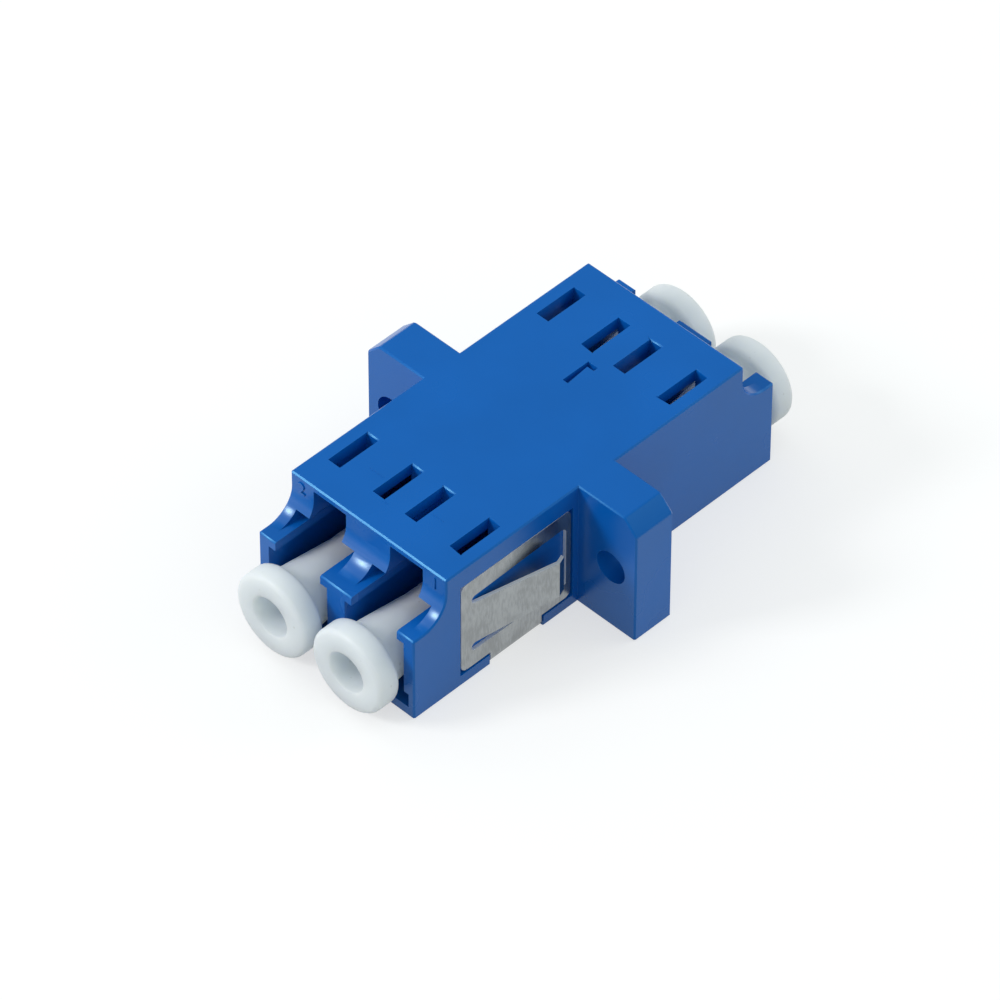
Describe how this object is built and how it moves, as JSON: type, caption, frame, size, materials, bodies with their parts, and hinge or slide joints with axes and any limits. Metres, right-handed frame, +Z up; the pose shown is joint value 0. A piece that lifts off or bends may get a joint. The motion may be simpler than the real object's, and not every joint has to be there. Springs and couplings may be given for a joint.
{
  "type": "lc duplex fibre adapter",
  "caption": "Blue duplex fibre adapter with screw ears, stepped plug ports, latch windows, a spring steel panel clip and pull-off white dust caps.",
  "frame": {"origin": "middle of the housing's flat underside, halfway along the fibre and across both ports", "axes": "+X across the ports to the right seen from the clip's end, +Y along the fibre from the front, which carries the clip, to the rear, +Z up from the underside to the face with the latch windows"},
  "size_m": [0.022, 0.0344, 0.0095],
  "materials": {
    "blue_housing": "satin moulded blue",
    "clip_steel": "fine brushed spring steel",
    "cap_plastic": "soft milky white",
    "holder_plastic": "moulded blue",
    "zirconia": "polished white"
  },
  "bodies": {
    "adapter": {"housing": "blue_housing", "panel_clip": "clip_steel", "sleeve_left": "zirconia", "sleeve_right": "zirconia", "sleeve_holder_front_left": "holder_plastic", "sleeve_holder_rear_left": "holder_plastic", "sleeve_holder_front_right": "holder_plastic", "sleeve_holder_rear_right": "holder_plastic"},
    "dust_cap_front_left": {"dust_cap_front_left": "cap_plastic"},
    "dust_cap_front_right": {"dust_cap_front_right": "cap_plastic"},
    "dust_cap_rear_left": {"dust_cap_rear_left": "cap_plastic"},
    "dust_cap_rear_right": {"dust_cap_rear_right": "cap_plastic"}
  },
  "joints": [
    {"name": "pull_front_left_cap", "type": "slide", "parent": "adapter", "child": "dust_cap_front_left", "axis": [0, -1, 0], "range_m": [0, 0.008]},
    {"name": "pull_front_right_cap", "type": "slide", "parent": "adapter", "child": "dust_cap_front_right", "axis": [0, -1, 0], "range_m": [0, 0.008]},
    {"name": "pull_rear_left_cap", "type": "slide", "parent": "adapter", "child": "dust_cap_rear_left", "axis": [0, 1, 0], "range_m": [0, 0.008]},
    {"name": "pull_rear_right_cap", "type": "slide", "parent": "adapter", "child": "dust_cap_rear_right", "axis": [0, 1, 0], "range_m": [0, 0.008]}
  ]
}
